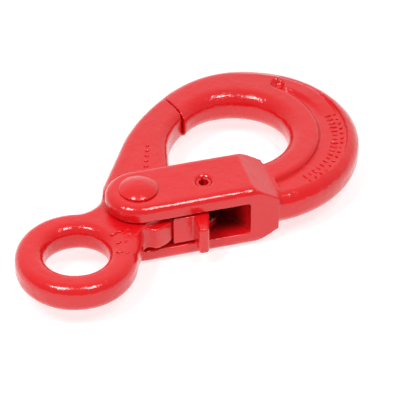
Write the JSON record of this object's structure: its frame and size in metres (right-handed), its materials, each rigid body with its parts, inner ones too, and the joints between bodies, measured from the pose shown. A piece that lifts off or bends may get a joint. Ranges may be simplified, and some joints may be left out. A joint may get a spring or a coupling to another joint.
{
  "type": "self-locking eye safety hook",
  "caption": "Forged safety hook with a lifting eye: the swinging latch closes the throat and a sprung thumb trigger sits in the clevis to hold it shut.",
  "frame": {"origin": "centre of the lifting eye, on the hook's mid-plane", "axes": "+X along the load line from the eye to the crown of the hook, +Y to the side the latch opens on, +Z along the axis of the eye and both pins, up when the hook lies flat"},
  "size_m": [0.1687, 0.0903, 0.0312],
  "materials": {
    "red_paint": "glossy thick red enamel over forged steel",
    "spring_steel": "drawn spring wire, dark and oily"
  },
  "bodies": {
    "hook": {"hook_body": "red_paint", "load_pin": "red_paint", "spring_pin": "red_paint"},
    "latch": {"latch_eye": "red_paint"},
    "trigger": {"trigger": "red_paint", "trigger_spring": "spring_steel"}
  },
  "joints": [
    {"name": "latch_swing", "type": "hinge", "parent": "hook", "child": "latch", "pos_m": [0.036, 0.0013, 0], "axis": [0, 0, 1], "range_deg": [0, 45]},
    {"name": "trigger_press", "type": "hinge", "parent": "hook", "child": "trigger", "pos_m": [0.0572, -0.01369, 0], "axis": [0, 0, 1], "range_deg": [0, 18], "stiffness_Nm_per_rad": 0.2, "springref_deg": -17.19, "deforming": ["trigger_spring"]}
  ]
}
